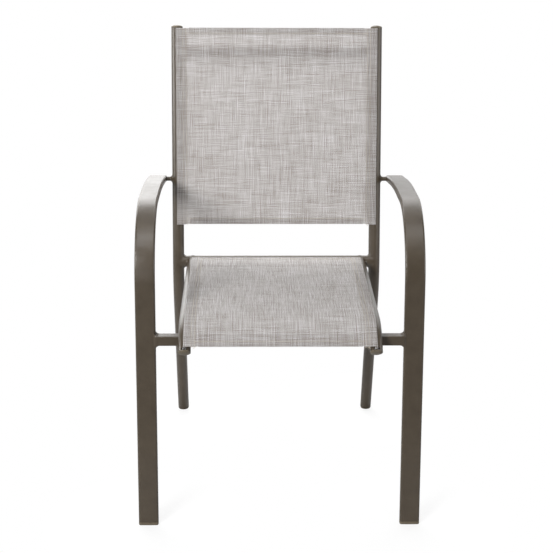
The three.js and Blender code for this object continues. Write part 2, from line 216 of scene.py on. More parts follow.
def distances_along(points):
    """Distance from the first point to each, along the line through them."""
    steps = np.linalg.norm(np.diff(points, axis=0), axis=1)
    return np.concatenate([[0.0], np.cumsum(steps)])


def down_and_back(slope):
    return np.array((cos(slope), -sin(slope)))


post_corners = [(FOOT_SPREAD, 0.0), (*POST_BEND, POST_BEND_RADIUS), POST_TOP]
plain_post = SideLine(post_corners)
SHIFT = centre("rear_seat_crossbar").y - plain_post.at(plain_post.where(1, SEAT_BAR_HEIGHT))[0][0]
post_line = SideLine([(c[0] + SHIFT, *c[1:]) for c in post_corners])
seat_bar = post_line.at(post_line.where(1, SEAT_BAR_HEIGHT))[0]
top_bar = post_line.at(post_line.where(1, TOP_BAR_HEIGHT))[0]

knee = np.array(KNEE) + (SHIFT, 0.0)
arm_bend = knee + down_and_back(ARM_FALL) * ARM_BEND_REACH
arm_way = down_and_back(ARM_FALL + ARM_BEND_TURN)
post_top, post_way = post_line.at(post_line.length)
across_post = square_to(post_way)
crossing = arm_bend + arm_way * ((post_top - arm_bend) @ across_post) / (arm_way @ across_post)
arm_end = crossing + arm_way * ARM_TAIL
leg_line = SideLine(
    [(SHIFT, 0.0), (*knee, KNEE_RADIUS), (*arm_bend, ARM_BEND_RADIUS), tuple(arm_end)]
)

nose = (NOSE[0] + SHIFT, NOSE[1])
rail_slope = atan((RAIL_REAR_HEIGHT - NOSE[1]) / (seat_bar[0] - NOSE[0] - SHIFT))
nose_slope = rail_slope + NOSE_TURN
nose_length = NOSE_RADIUS * tan(NOSE_TURN / 2) + NOSE_TIP
nose_end = (nose[0] - nose_length * cos(nose_slope), nose[1] - nose_length * sin(nose_slope))
rail_line = SideLine([nose_end, (*nose, NOSE_RADIUS), (seat_bar[0], RAIL_REAR_HEIGHT)])


def post_frame(height):
    """Directions to the front of the post and up along it, at a height."""
    way = post_line.at(post_line.where(1, height))[1]
    return square_to(way), way


# Materials: the scales of their noises are per metre

NOISE_LOW, NOISE_HIGH = 0.3, 0.7  # most of a noise lies between these

PAINT_TONES = ((67, 58, 47), (74, 65, 53))
PAINT_FLECK = (104, 95, 84)
FLECK_RANGE = (0.62, 0.75)
FLECK_SHARE = 0.35
MOTTLE_SCALE = 38.0
FLECK_SCALE = 1400.0
PEBBLE_SCALE = 900.0
WAVE_SCALE = 120.0
WAVE_WEIGHT = 2.0

CAP_TONES = ((92, 83, 68), (104, 94, 78))
CAP_CLOUD_SCALE = 90.0
SCUFF_SCALE = 700.0
SCUFF_STRETCH = (1.0, 0.25, 1.0)

ROD_TONES = ((206, 203, 194), (222, 220, 214))
ROD_LINES = (900.0, 8.0, 8.0)

THREAD_TONES = ((178, 168, 150), (214, 206, 190))
TWIST_SCALE = 2600.0

YARN = 0.00122  # yarn to yarn; they are woven in pairs
SLUB = {"warp": 0.055, "weft": 0.050}  # along a yarn, between its lighter and darker lengths
YARN_SEED = {"warp": 3.7, "weft": 91.3}
YARN_STRIDE = (7.31, 0.37)  # from yarn to yarn, through the noise
YARN_CONTRAST = 2.2
APART = 0.35  # how far a yarn's tone is pushed away from the tone of the one beside it
GRID = 0.06  # how much lighter every second pair is
WARP_SHARE = (0.28, 0.78)  # of the tone, where the warp lies under and over
CLOUD_SIZE = (0.045, 0.07)
CLOUD_GAIN = 0.35
BAR_AREA = (0.06, 0.008)
BAR_GAIN = 0.2
HOLE = 0.36  # how open the corners between the pairs are, 0 to 1
HOLE_EDGE = 0.05
TRANSLUCENT = 0.18
CLOTH_DARK = (118, 107, 99)
CLOTH_MIDDLE = (167, 162, 159)
CLOTH_LIGHT = (212, 211, 213)


class Nodes:
    """Short hand for building a node tree."""

    def __init__(self, tree):
        self.tree = tree
        tree.nodes.clear()

    def add(self, kind, inputs=None, **settings):
        node = self.tree.nodes.new("ShaderNode" + kind)
        for key, value in settings.items():
            setattr(node, key, value)
        for key, value in (inputs or {}).items():
            if isinstance(value, bpy.types.NodeSocket):
                self.tree.links.new(value, node.inputs[key])
            else:
                node.inputs[key].default_value = value
        return node

    def math(self, operation, a, b=0.0, c=None):
        inputs = {0: a, 1: b}
        if c is not None:
            inputs[2] = c
        return self.add("Math", inputs, operation=operation).outputs[0]

    def noise(self, vector, scale, detail=2.0, roughness=0.5):
        inputs = {"Vector": vector, "Scale": scale, "Detail": detail, "Roughness": roughness}
        return self.add("TexNoise", inputs).outputs["Fac"]

    def parts(self, vector):
        return self.add("SeparateXYZ", {0: vector}).outputs

    def stretched(self, vector, scale):
        return self.add("VectorMath", {0: vector, 1: scale}, operation="MULTIPLY").outputs[0]

    def mixed(self, share, a, b):
        """Mix of two colours."""
        return self.add("Mix", {0: share, 6: a, 7: b}, data_type="RGBA").outputs[2]

    def toned(self, share, tones):
        return self.mixed(share, *(colour(*c) for c in tones))

    def between(self, share, a, b):
        """Mix of two numbers."""
        return self.add("Mix", {0: share, 2: a, 3: b}).outputs[0]

    def spread(self, value, low, high, to_low, to_high):
        names = ("Value", "From Min", "From Max", "To Min", "To Max")
        inputs = dict(zip(names, (value, low, high, to_low, to_high)))
        return self.add("MapRange", inputs).outputs[0]

    def ranged(self, noise, low, high):
        return self.spread(noise, NOISE_LOW, NOISE_HIGH, low, high)

    def swayed(self, value, by, gain):
        """The value, moved up and down by a share that lies about 0.5."""
        return self.math("MULTIPLY_ADD", self.math("SUBTRACT", by, 0.5), gain, value)

    def relief(self, strength, depth, height):
        inputs = {"Strength": strength, "Distance": depth, "Height": height}
        return self.add("Bump", inputs).outputs[0]

    def output(self, surface):
        self.add("OutputMaterial", {"Surface": surface})

    def finish(self, tone, roughness, normal, more=None):
        inputs = {"Base Color": tone, "Roughness": roughness, "Normal": normal, **(more or {})}
        self.output(self.add("BsdfPrincipled", inputs).outputs[0])


def colour(r, g, b, alpha=1.0):
    """Linear colour of an sRGB one given as 0 to 255."""

    def linear(c):
        c /= 255
        return c / 12.92 if c <= 0.04045 else ((c + 0.055) / 1.055) ** 2.4

    return (linear(r), linear(g), linear(b), alpha)


def new_material(name):
    """A material, its nodes, and the place on the object."""
    material = bpy.data.materials.new(name)
    material.use_nodes = True
    n = Nodes(material.node_tree)
    return material, n, n.add("TexCoord").outputs["Object"]


def powder_coat():
    """Satin powder coat: a fine pebble, faint mottling, pale flecks of dust."""
    material, n, place = new_material("powder_coat")
    mottle = n.noise(place, MOTTLE_SCALE, 4.0, 0.6)
    fleck = n.noise(place, FLECK_SCALE, 1.0)
    tone = n.toned(n.ranged(mottle, 0.0, 1.0), PAINT_TONES)
    tone = n.mixed(n.spread(fleck, *FLECK_RANGE, 0.0, FLECK_SHARE), tone, colour(*PAINT_FLECK))
    pebble = n.noise(place, PEBBLE_SCALE, 2.0, 0.6)
    wave = n.noise(place, WAVE_SCALE, 1.0)
    height = n.math("MULTIPLY_ADD", wave, WAVE_WEIGHT, pebble)
    coat = {"Metallic": 0.0, "IOR": 1.5, "Coat Weight": 0.12, "Coat Roughness": 0.14}
    n.finish(tone, n.ranged(mottle, 0.30, 0.38), n.relief(0.10, 0.0002, height), coat)
    return material


def cap_plastic():
    """Moulded polyethylene with fine scuffs."""
    material, n, place = new_material("cap_plastic")
    cloud = n.noise(place, CAP_CLOUD_SCALE, 3.0)
    tone = n.toned(n.ranged(cloud, 0.0, 1.0), CAP_TONES)
    scuffs = n.noise(n.stretched(place, SCUFF_STRETCH), SCUFF_SCALE, 3.0, 0.7)
    n.finish(tone, n.ranged(scuffs, 0.38, 0.55), n.relief(0.15, 0.0002, scuffs))
    return material


def rod_plastic():
    """Extruded natural plastic with fine lines along it."""
    material, n, place = new_material("rod_plastic")
    lines = n.noise(n.stretched(place, ROD_LINES), 1.0, 2.0)
    tone = n.toned(lines, ROD_TONES)
    n.finish(tone, 0.5, n.relief(0.1, 0.0001, lines))
    return material


def seam_thread():
    """Twisted polyester thread."""
    material, n, place = new_material("seam_thread")
    twist = n.noise(place, TWIST_SCALE, 2.0)
    tone = n.toned(twist, THREAD_TONES)
    n.finish(tone, 0.7, n.relief(0.4, 0.0001, twist))
    return material


def streaks(n, number, run, kind):
    """A tone of its own for each numbered yarn, changing slowly along it."""
    spot = {
        0: n.math("MULTIPLY_ADD", number, YARN_STRIDE[0], YARN_SEED[kind]),
        1: n.math("DIVIDE", run, SLUB[kind]),
        2: n.math("MULTIPLY", number, YARN_STRIDE[1]),
    }
    return n.noise(n.add("CombineXYZ", spot).outputs[0], 1.0, 1.0, 0.6)


def arch(n, count):
    """0 at each whole count, 1 halfway between them."""
    return n.math("SINE", n.math("MULTIPLY", n.math("FRACT", count), pi))


def yarns(n, over, run, kind):
    """Tone along each yarn, its roundness (1 on its middle), its pair's number, and 1 on the
    middle of the pair."""
    count = n.math("DIVIDE", over, YARN)
    number = n.math("FLOOR", count)
    pairs = n.math("DIVIDE", count, 2.0)
    own = n.math("SUBTRACT", streaks(n, number, run, kind), 0.5)
    beside = streaks(n, n.math("SUBTRACT", number, 1.0), run, kind)
    tone = n.math("MULTIPLY_ADD", n.swayed(own, beside, -APART), YARN_CONTRAST, 0.5)
    lighter = n.math("LESS_THAN", n.math("FLOORED_MODULO", number, 4.0), 1.5)
    tone = n.swayed(tone, lighter, GRID)
    return tone, arch(n, count), n.math("FLOOR", pairs), arch(n, pairs)


def sling_cloth():
    """Basket weave of coated yarn in pairs, each yarn lighter and darker along its length,
    with open corners between the pairs."""
    material, n, _ = new_material("sling_cloth")
    uv = n.add("UVMap", uv_map="Cloth").outputs[0]
    across, along = n.parts(uv)[:2]
    warp, warp_round, warp_pair, warp_middle = yarns(n, across, along, "warp")
    weft, weft_round, weft_pair, weft_middle = yarns(n, along, across, "weft")
    parity = n.math("FLOORED_MODULO", n.math("ADD", warp_pair, weft_pair), 2.0)
    top_warp = n.spread(parity, 0.0, 1.0, *WARP_SHARE)
    tone = n.between(top_warp, weft, warp)
    cloud = n.noise(n.stretched(uv, (1 / CLOUD_SIZE[0], 1 / CLOUD_SIZE[1], 1.0)), 1.0)
    bars = n.noise(n.stretched(uv, (1 / BAR_AREA[0], 1 / BAR_AREA[1], 1.0)), 1.0, 1.0)
    tone = n.swayed(n.swayed(tone, cloud, CLOUD_GAIN), bars, BAR_GAIN)
    dark, middle, light = (colour(*c) for c in (CLOTH_DARK, CLOTH_MIDDLE, CLOTH_LIGHT))
    tint = n.mixed(n.spread(tone, 0.5, 1.0, 0.0, 1.0), middle, light)
    tint = n.mixed(n.spread(tone, 0.0, 0.5, 1.0, 0.0), tint, dark)
    normal = n.relief(0.3, 0.0002, n.between(top_warp, weft_round, warp_round))
    coat = n.add("BsdfPrincipled", {"Base Color": tint, "Roughness": 0.62, "Normal": normal})
    through = n.add("BsdfTranslucent", {"Color": tint, "Normal": normal})
    body = n.add("MixShader", {0: TRANSLUCENT, 1: coat.outputs[0], 2: through.outputs[0]})
    nearest = n.math("MAXIMUM", warp_middle, weft_middle)
    open_share = n.spread(nearest, HOLE - HOLE_EDGE, HOLE + HOLE_EDGE, 1.0, 0.0)
    clear = n.add("BsdfTransparent")
    surface = n.add("MixShader", {0: open_share, 1: body.outputs[0], 2: clear.outputs[0]})
    n.output(surface.outputs[0])
    return material


paint = powder_coat()
plastic = cap_plastic()
rod_material = rod_plastic()
cloth = sling_cloth()
thread = seam_thread()


# Mesh building


def skin(rings, wrap=True, closed=False, caps=False):
    """Vertices and faces of a stack of rings; closed joins the last ring to the first."""
    rings = np.asarray(rings)
    rows, count = rings.shape[:2]
    faces = []
    for i in range(rows if closed else rows - 1):
        a, b = i * count, (i + 1) % rows * count
        for k in range(count if wrap else count - 1):
            m = (k + 1) % count
            faces.append((a + k, a + m, b + m, b + k))
    if caps:
        faces.append(tuple(range(count)))
        faces.append(tuple((rows - 1) * count + k for k in reversed(range(count))))
    return rings.reshape(-1, 3), faces


def linked(name, data):
    obj = bpy.data.objects.new(name, data)
    bpy.context.scene.collection.objects.link(obj)
    return obj


def piece(name, verts, faces, material, nodes=(), solid=True, sharp=38):
    mesh = bpy.data.meshes.new(name)
    mesh.from_pydata([tuple(v) for v in verts], [], faces)
    if solid:
        work = bmesh.new()
        work.from_mesh(mesh)
        bmesh.ops.remove_doubles(work, verts=work.verts, dist=TINY)
        bmesh.ops.recalc_face_normals(work, faces=work.faces)
        work.to_mesh(mesh)
        work.free()
    mesh.materials.append(material)
    mesh.shade_smooth()
    mesh.set_sharp_from_angle(angle=radians(sharp))
    obj = linked(name, mesh)
    weighted = obj.modifiers.new("even_faces", "WEIGHTED_NORMAL")
    weighted.keep_sharp = True
    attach(obj, "root")
    if nodes:
        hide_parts(*nodes)
    return obj


def arc(radius, angles):
    return np.stack([radius * np.cos(angles), radius * np.sin(angles)], axis=1)


def circle(radius):
    return arc(radius, np.arange(ROUND_SIDES) * 2 * pi / ROUND_SIDES)


def rounded_rect(width, height, radius):
    points = []
    for quarter, (sx, sy) in enumerate(((1, 1), (-1, 1), (-1, -1), (1, -1))):
        for k in range(CORNER_STEPS + 1):
            angle = (quarter + k / CORNER_STEPS) * pi / 2
            x = sx * (width / 2 - radius) + radius * cos(angle)
            y = sy * (height / 2 - radius) + radius * sin(angle)
            points.append((x, y))
    return np.array(points)


def arm_section(inset=0.0):
    """A rounded rectangle whose wide faces are slightly crowned."""
    width, height = ARM_WIDTH - 2 * inset, ARM_THICKNESS - 2 * inset
    corners = rounded_rect(width, height, max(ARM_CORNER - inset, ARM_INNER_CORNER))
    points = []
    for corner, following in zip(corners, np.roll(corners, -1, axis=0)):
        step = following - corner
        steps = FACE_STEPS if abs(step[0]) > width / 2 else 1
        points += [corner + step * k / steps for k in range(steps)]
    points = np.array(points)
    points[:, 1] *= 1 - 2 * ARM_CROWN / height * (2 * points[:, 0] / width) ** 2
    return points


def leg_and_arm(hand, side):
    marks = leg_line.stations(FOOT_CAP_HEIGHT, leg_line.length)
    rings = [leg_line.ring(s, arm_section(), side * ARM_X) for s in marks]
    rings += [leg_line.ring(s, arm_section(WALL), side * ARM_X) for s in reversed(marks)]
    verts, faces = skin(rings, closed=True)
    node = f"front_leg_and_arm_{hand}"
    piece(f"leg_and_arm_{hand}", verts, faces, paint, [node])


def slotted_loops(opening=SLOT):
    """Outer and inner loop with matching points, the first and last at the slot's edges."""
    loops = []
    for radius in (TUBE_RADIUS, BORE_RADIUS):
        half = asin(opening / 2 / radius)
        angles = pi / 2 + half + np.linspace(0, 2 * pi - 2 * half, ROUND_SIDES + 1)
        loops.append(arc(radius, angles))
    return loops


def back_post(hand, side):
    """Whole tube up to the back sling, slotted along its front from there on."""
    slot_start = post_line.where(1, BACK_SLING_BOTTOM) - SEAM_GAP
    marks = post_line.stations(FOOT_CAP_HEIGHT, slot_start)
    split = len(marks) - 1
    marks += post_line.stations(slot_start, post_line.length)[1:]
    x = side * POST_X
    loops = slotted_loops()
    rows, count = len(marks), len(loops[0])
    last = count - 1
    verts = np.concatenate([post_line.ring(s, loop, x) for loop in loops for s in marks])
    faces = []

    def quad(*corners):
        """A face between spots, each given by its layer, row and place in the loop."""
        faces.append([(layer * rows + row) * count + k for layer, row, k in corners])

    for row in range(rows - 1):
        above = row + 1
        for layer in (0, 1):
            for k in range(last):
                quad((layer, row, k), (layer, row, k + 1), (layer, above, k + 1), (layer, above, k))
            if row < split:
                quad((layer, row, last), (layer, row, 0), (layer, above, 0), (layer, above, last))
        if row >= split:
            for k in (0, last):
                quad((0, row, k), (0, above, k), (1, above, k), (1, row, k))
    for row, columns in ((0, count), (rows - 1, last), (split, 0)):
        for k in range(columns):
            m = (k + 1) % count
            quad((0, row, k), (0, row, m), (1, row, m), (1, row, k))
    quad((0, split, last), (0, split, 0), (1, split, 0), (1, split, last))
    piece(f"post_{hand}", verts, faces, paint, [f"back_post_{hand}"])


def to_bar(section, x, reach):
    """The ring where each line of a section along the rail meets the rear crossbar."""
    end, way = rail_line.at(rail_line.length)
    up = square_to(way)
    ring = []
    for sx, sy in section:
        off = end + up * sy - seat_bar
        along = off @ way
        square = along * along - (off @ off - reach * reach)
        place = end + up * sy + way * (-along - sqrt(max(square, 0.0)))
        ring.append((x + sx, *place))
    return np.array(ring)


def seat_rail(hand, side):
    """Slotted along its top; its rear end is shaped to hug the rear crossbar."""
    marks = rail_line.stations(0.0, rail_line.length - 2 * TUBE_RADIUS)
    marks = sorted({*marks, NOTCH_LENGTH, NOTCH_LENGTH + NOTCH_STEP})
    x = side * RAIL_X
    rings = []
    for s in marks:
        outer, inner = slotted_loops(NOTCH if s <= NOTCH_LENGTH else SLOT)
        section = np.concatenate([outer, inner[::-1]])
        rings.append(rail_line.ring(s, section, x))
    rings.append(to_bar(section, x, TUBE_RADIUS + SEAM_GAP))
    verts, faces = skin(rings)
    count = len(section)
    for row in (0, len(rings) - 1):
        for k in range(len(outer) - 1):
            faces.append([row * count + i for i in (k, k + 1, count - 2 - k, count - 1 - k)])
    piece(f"rail_{hand}", verts, faces, paint, [f"seat_rail_{hand}"])


CROSSBAR_STRAIGHT = 1.2 * TUBE_RADIUS  # from a post's middle to where the bar is plain


def crossbar_ring(place, radius, side, mitred=True):
    """A ring near one post, either mitred to hug it or plain."""
    front, _ = post_frame(place[1])
    ring = []
    for off in circle(radius):
        hug = half_chord(TUBE_RADIUS + SEAM_GAP, off @ front)
        x = side * (POST_X - (hug if mitred else CROSSBAR_STRAIGHT))
        ring.append((x, *(place + off)))
    return np.array(ring)


def round_crossbar(name, node, place):
    rings = [
        crossbar_ring(place, TUBE_RADIUS, -1),
        crossbar_ring(place, TUBE_RADIUS, -1, mitred=False),
        crossbar_ring(place, TUBE_RADIUS, 1, mitred=False),
        crossbar_ring(place, TUBE_RADIUS, 1),
        crossbar_ring(place, BORE_RADIUS, 1),
        crossbar_ring(place, BORE_RADIUS, -1),
    ]
    verts, faces = skin(rings, closed=True)
    piece(name, verts, faces, paint, [node])


def front_crossbar():
    place = centre("front_seat_crossbar")
    low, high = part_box("front_seat_crossbar")
    rings = []
    for inset, ends in ((0.0, (low.x, high.x)), (WALL, (high.x, low.x))):
        section = rounded_rect(BAR_SIZE - 2 * inset, BAR_SIZE - 2 * inset, BAR_CORNER - inset)
        for x in ends:
            rings.append([(x, place.y + sy, place.z + sz) for sy, sz in section])
    verts, faces = skin(rings, closed=True)
    piece("front_bar", verts, faces, paint, ["front_seat_crossbar"])


# Welds: a bead lofted from a curve on one piece to a curve on the other, drawn towards the
# corner between them.

WELD_STEPS = 6
WELD_PULL = 0.62  # 1 fills along the corner, 0 is a straight bevel
WELD_RIPPLE = 0.12
WELD_RIPPLE_RUN = 7  # points of the curve to a ripple
WELD_PROUD = 0.0002  # edge of a bead above the tube
WELD_SUNK = 0.0001
REAR_BAR_WELD = 0.0045
TOP_BAR_WELD = 0.0035
RAIL_WELD = 0.004
FRONT_BAR_WELD = 0.0085

TACK_STEPS = 14
TACK_WAVE = 1.9
TACK_UP = 0.9  # shares of the bulge, up the rail and out over the bar
TACK_OUT = 0.8
TACK_MEAN, TACK_SWING = 0.75, 0.25  # of the weld's width


def bead(name, on_a, on_b, corner, wrap=True):
    on_a, on_b, corner = (np.asarray(c, float) for c in (on_a, on_b, corner))
    count = len(on_a)
    wave = np.sin(np.arange(count) * 2 * pi * round(count / WELD_RIPPLE_RUN) / count)[:, None]
    pull = WELD_PULL + WELD_RIPPLE * wave
    hinge = corner * pull + (on_a + on_b) / 2 * (1 - pull)
    rings = []
    for k in range(WELD_STEPS + 1):
        t = k / WELD_STEPS
        rings.append((1 - t) ** 2 * on_a + 2 * t * (1 - t) * hinge + t * t * on_b)
    verts, faces = skin(rings, wrap=wrap)
    piece(name, verts, faces, paint, solid=False, sharp=60)


def crossbar_weld(name, place, side, width):
    front, way = post_frame(place[1])
    grow = 1 + width / TUBE_RADIUS
    proud = 1 + WELD_PROUD / TUBE_RADIUS
    on_post, on_bar, corner = [], [], []
    for off in circle(TUBE_RADIUS):
        ahead = off @ front
        spread = max(-TUBE_RADIUS, min(TUBE_RADIUS, ahead * grow))
        spot = place + front * spread + way * (off @ way) * grow
        on_post.append((side * (POST_X - half_chord(TUBE_RADIUS, spread)), *spot))
        x = POST_X - half_chord(TUBE_RADIUS, ahead)
        corner.append((side * x, *(place + off)))
        on_bar.append((side * (x - width), *(place + off * proud)))
    bead(name, on_post, on_bar, corner)


def rail_weld(name, side, width):
    x = side * RAIL_X
    corner = to_bar(circle(TUBE_RADIUS), x, TUBE_RADIUS)
    on_bar = to_bar(circle(TUBE_RADIUS + width), x, TUBE_RADIUS)
    on_rail = to_bar(circle(TUBE_RADIUS + WELD_PROUD), x, TUBE_RADIUS)
    on_rail = on_rail - np.array((0.0, *rail_line.at(rail_line.length)[1])) * width
    bead(name, on_bar, on_rail, corner)


def leg_side(offset):
    """Sideways fall of the leg's face over its rounded corner."""
    over = max(abs(offset) - (ARM_THICKNESS / 2 - ARM_CORNER), 0.0)
    return ARM_CORNER - half_chord(ARM_CORNER, min(over, ARM_CORNER))


def front_bar_weld(name, side, width):
    place = centre("front_seat_crossbar")
    way = leg_line.at(leg_line.where(1, place.z))[1]
    front = square_to(way)
    middle = np.array((place.y, place.z))
    on_leg, on_bar, corner = [], [], []
    section = rounded_rect(BAR_SIZE, BAR_SIZE, BAR_CORNER)
    grown = rounded_rect(BAR_SIZE + 2 * width, BAR_SIZE + 2 * width, BAR_CORNER + width)
    for small, large in zip(section, grown):
        ahead = max(-ARM_THICKNESS / 2, min(ARM_THICKNESS / 2, large @ front))
        spot = middle + front * ahead + way * (large @ way)
        on_leg.append((side * (ARM_FACE + leg_side(ahead) - WELD_SUNK), *spot))
        x = ARM_FACE + leg_side(small @ front)
        corner.append((side * x, *(middle + small)))
        on_bar.append((side * (x - width), *(middle + small * (1 + WELD_PROUD / BAR_SIZE))))
    bead(name, on_leg, on_bar, corner)


def rail_tack(name, side, width):
    """The beads that join the underside of a rail to the top of the front crossbar."""
    place = centre("front_seat_crossbar")
    top = place.z + BAR_SIZE / 2
    x = side * RAIL_X
    half = BAR_SIZE / 2 - BAR_CORNER
    for edge, out in (("inner", -side), ("outer", side)):
        on_rail, on_bar, corner = [], [], []
        for k in range(TACK_STEPS + 1):
            y = place.y + half * (2 * k / TACK_STEPS - 1)
            spot, way = rail_line.at(rail_line.where(0, y))
            radius = TUBE_RADIUS / way[0]
            gap = spot[1] - top
            foot = half_chord(radius, gap)
            bulge = width * (TACK_MEAN + TACK_SWING * sin(k * TACK_WAVE))
            lift = min(gap, radius) - bulge * TACK_UP
            over = half_chord(radius, lift)
            on_rail.append((x + out * min(over, foot + bulge), y, spot[1] - lift))
            on_bar.append((x + out * (max(foot, over) + bulge * TACK_OUT), y, top + WELD_SUNK))
            corner.append((x + out * foot, y, top))
        bead(f"{name}_{edge}", on_rail, on_bar, corner, wrap=False)


STUB_RADIUS = 0.0048
STUB_LIFT = 0.001
STUB_POST_FLARE = 0.0052
STUB_ARM_FLARE = 0.0018
STUB_STEPS = 8


def arm_stub(hand, side):
    """A short bar across the gap, flared by its welds, hugging the round post."""
    middle = crossing + np.array((0.0, STUB_LIFT))
    front, _ = post_frame(middle[1])
    turns = [k / STUB_STEPS * pi / 2 for k in range(STUB_STEPS + 1)]
    post_flare = [(STUB_POST_FLARE * (1 - sin(t)), STUB_POST_FLARE * (1 - cos(t))) for t in turns]
    arm_flare = [(STUB_ARM_FLARE * (1 - cos(t)), -STUB_ARM_FLARE * (1 - sin(t))) for t in turns]
    rings = []
    for at_post, flare in ((True, post_flare), (False, arm_flare)):
        for wider, away in flare:
            ring = []
            for off in circle(STUB_RADIUS + wider):
                hug = POST_X + half_chord(TUBE_RADIUS + SEAM_GAP, off @ front)
                x = away + (hug if at_post else ARM_FACE - SEAM_GAP)
                ring.append((side * x, *(middle + off)))
            rings.append(ring)
    verts, faces = skin(rings, caps=True)
    piece(f"stub_{hand}", verts, faces, paint, [f"arm_stub_{hand}"], sharp=60)


# Caps and plugs: rings at (inset from the tube's outline, distance past its end)

STEM = 0.016  # how far each reaches into its tube
CAP_RIM = 0.0015
FOOT_OVER = 0.0013  # of the front foot, cut off flat by the floor
FOOT_ROUNDING = 0.003
FOOT_DOME = 0.007
POST_DOME = 0.0045
NOSE_DOME = 0.003
NOSE_LIP = 0.0012
LIP_SHAPE = ((0.3, 0.35), (0.9, 0.3), (1.0, 0.0))  # inward and up, in widths of the lip
ARM_PLUG = 0.003
ARM_PLUG_ROUNDING = 0.0012
ROUNDING_STEPS = 6
DOME_STEPS = 10
DOME_TIP = 0.02  # share of the radius left at the top of a dome


def quarter_round(height, rounding):
    """A flange of that height with its far edge rounded."""
    profile = [(0.0, SEAM_GAP), (0.0, height - rounding)]
    for k in range(1, ROUNDING_STEPS + 1):
        turn = k / ROUNDING_STEPS * pi / 2
        profile.append((rounding * (1 - cos(turn)), height - rounding * (1 - sin(turn))))
    return profile


def dome(rise, lip=0.0):
    """A rim the size of the tube, then a dome, which may start inside a raised lip."""
    profile = [(0.0, SEAM_GAP), (0.0, CAP_RIM)]
    if lip:
        profile += [(lip * inward, CAP_RIM + lip * up) for inward, up in LIP_SHAPE]
    for k in range(1, DOME_STEPS + 1):
        turn = k / DOME_STEPS * pi / 2
        across = (TUBE_RADIUS - lip) * cos(turn) if k < DOME_STEPS else TUBE_RADIUS * DOME_TIP
        profile.append((TUBE_RADIUS - across, CAP_RIM + rise * sin(turn)))
    return profile


def with_stem(profile):
    """The same, with the stem that fills the tube's bore put before it."""
    inset = WALL + SEAM_GAP
    return [(inset, -STEM), (inset, SEAM_GAP)] + profile


def round_section(inset):
    return circle(TUBE_RADIUS - inset)


TUBES = {
    "leg": (leg_line, arm_section, ARM_X),
    "post": (post_line, round_section, POST_X),
    "rail": (rail_line, round_section, RAIL_X),
}


def cap(name, node, tube, end, side, profile):
    line, outline, x = TUBES[tube]
    start = {"foot": FOOT_CAP_HEIGHT, "nose": 0.0, "top": line.length}[end]
    sign = 1 if end == "top" else -1
    rings = [line.ring(start + sign * out, outline(inset), side * x) for inset, out in profile]
    verts, faces = skin(rings, caps=True)
    if end == "foot":
        verts = verts.copy()
        verts[:, 2] = np.maximum(verts[:, 2], 0.0)
    piece(name, verts, faces, plastic, [node], sharp=50)


def caps(hand, side):
    foot = quarter_round(FOOT_CAP_HEIGHT + FOOT_OVER, FOOT_ROUNDING)
    plug = quarter_round(ARM_PLUG, ARM_PLUG_ROUNDING)
    nose_plug = dome(NOSE_DOME, NOSE_LIP)
    for name, node, tube, end, profile in (
        ("front_foot", "front_foot_cap", "leg", "foot", with_stem(foot)),
        ("rear_foot", "rear_foot_cap", "post", "foot", with_stem(dome(FOOT_DOME))),
        ("arm_plug", "arm_end_plug", "leg", "top", with_stem(plug)),
        ("post_cap", "post_top_cap", "post", "top", dome(POST_DOME)),
        ("nose_plug", "seat_rail_end_plug", "rail", "nose", nose_plug),
    ):
        cap(f"{name}_{hand}", f"{node}_{hand}", tube, end, side, profile)


# Slings

LAYER_GAP = 0.0002  # between the two layers of a hem
BACK_LAYER = TUBE_RADIUS + SEAM_GAP + CLOTH / 2
FRONT_LAYER = BACK_LAYER + CLOTH + LAYER_GAP
COLUMN = 0.006  # mesh width of the cloth
ROW = 0.0035
COLUMNS_END = 0.004  # inside the slot, where the even columns stop
FOLD_START = 0.001  # inside the slot, where the front layer begins to turn
FOLD_DIP = 0.0001
FOLD_STEPS = 6
SLOT_DOWN = 0.0004  # below the tube's surface, on the way down and up through the slot
SLOT_UP = 0.0002
CASING_STEPS = 20
HEM_START = 0.0016  # inside the slot, where the cloth lies flat again behind
HEM_COLUMNS = 5
HEM_FOLD = CLOTH / 2  # radius of the fold at an end hem
HEM_FOLD_RUN = 0.0017  # cloth in that fold
END_HEM_SHORT = 0.0005  # how far an end hem stops short of the side hems
CORNER_RAMP = 3  # how much sooner than the whole hem its corner hangs fully
SEAM_INSET = 0.002  # of the inner row, from the edge of the hem
END_SEAM_INSET = 0.0025
SEAM_SHORT = 0.001  # how far a side row stops short of the sling's ends
SEAM_PITCH = 0.0066  # between the two rows along a side

PUCKER_DEPTH = 0.0006
PUCKER_REACH = 0.006
PUCKER_WAVES = ((0.0043, 0.0), (0.0071, 1.3), (0.0113, 0.4))  # run and phase of each
PUCKER_MEAN = 0.35
PUCKER_SWING = 0.3


def fan(x, y, radius, start, turn, steps):
    """Points on an arc from an angle on, without its first point."""
    angles = [start + turn * k / steps for k in range(1, steps + 1)]
    return [(x + radius * cos(a), y + radius * sin(a)) for a in angles]


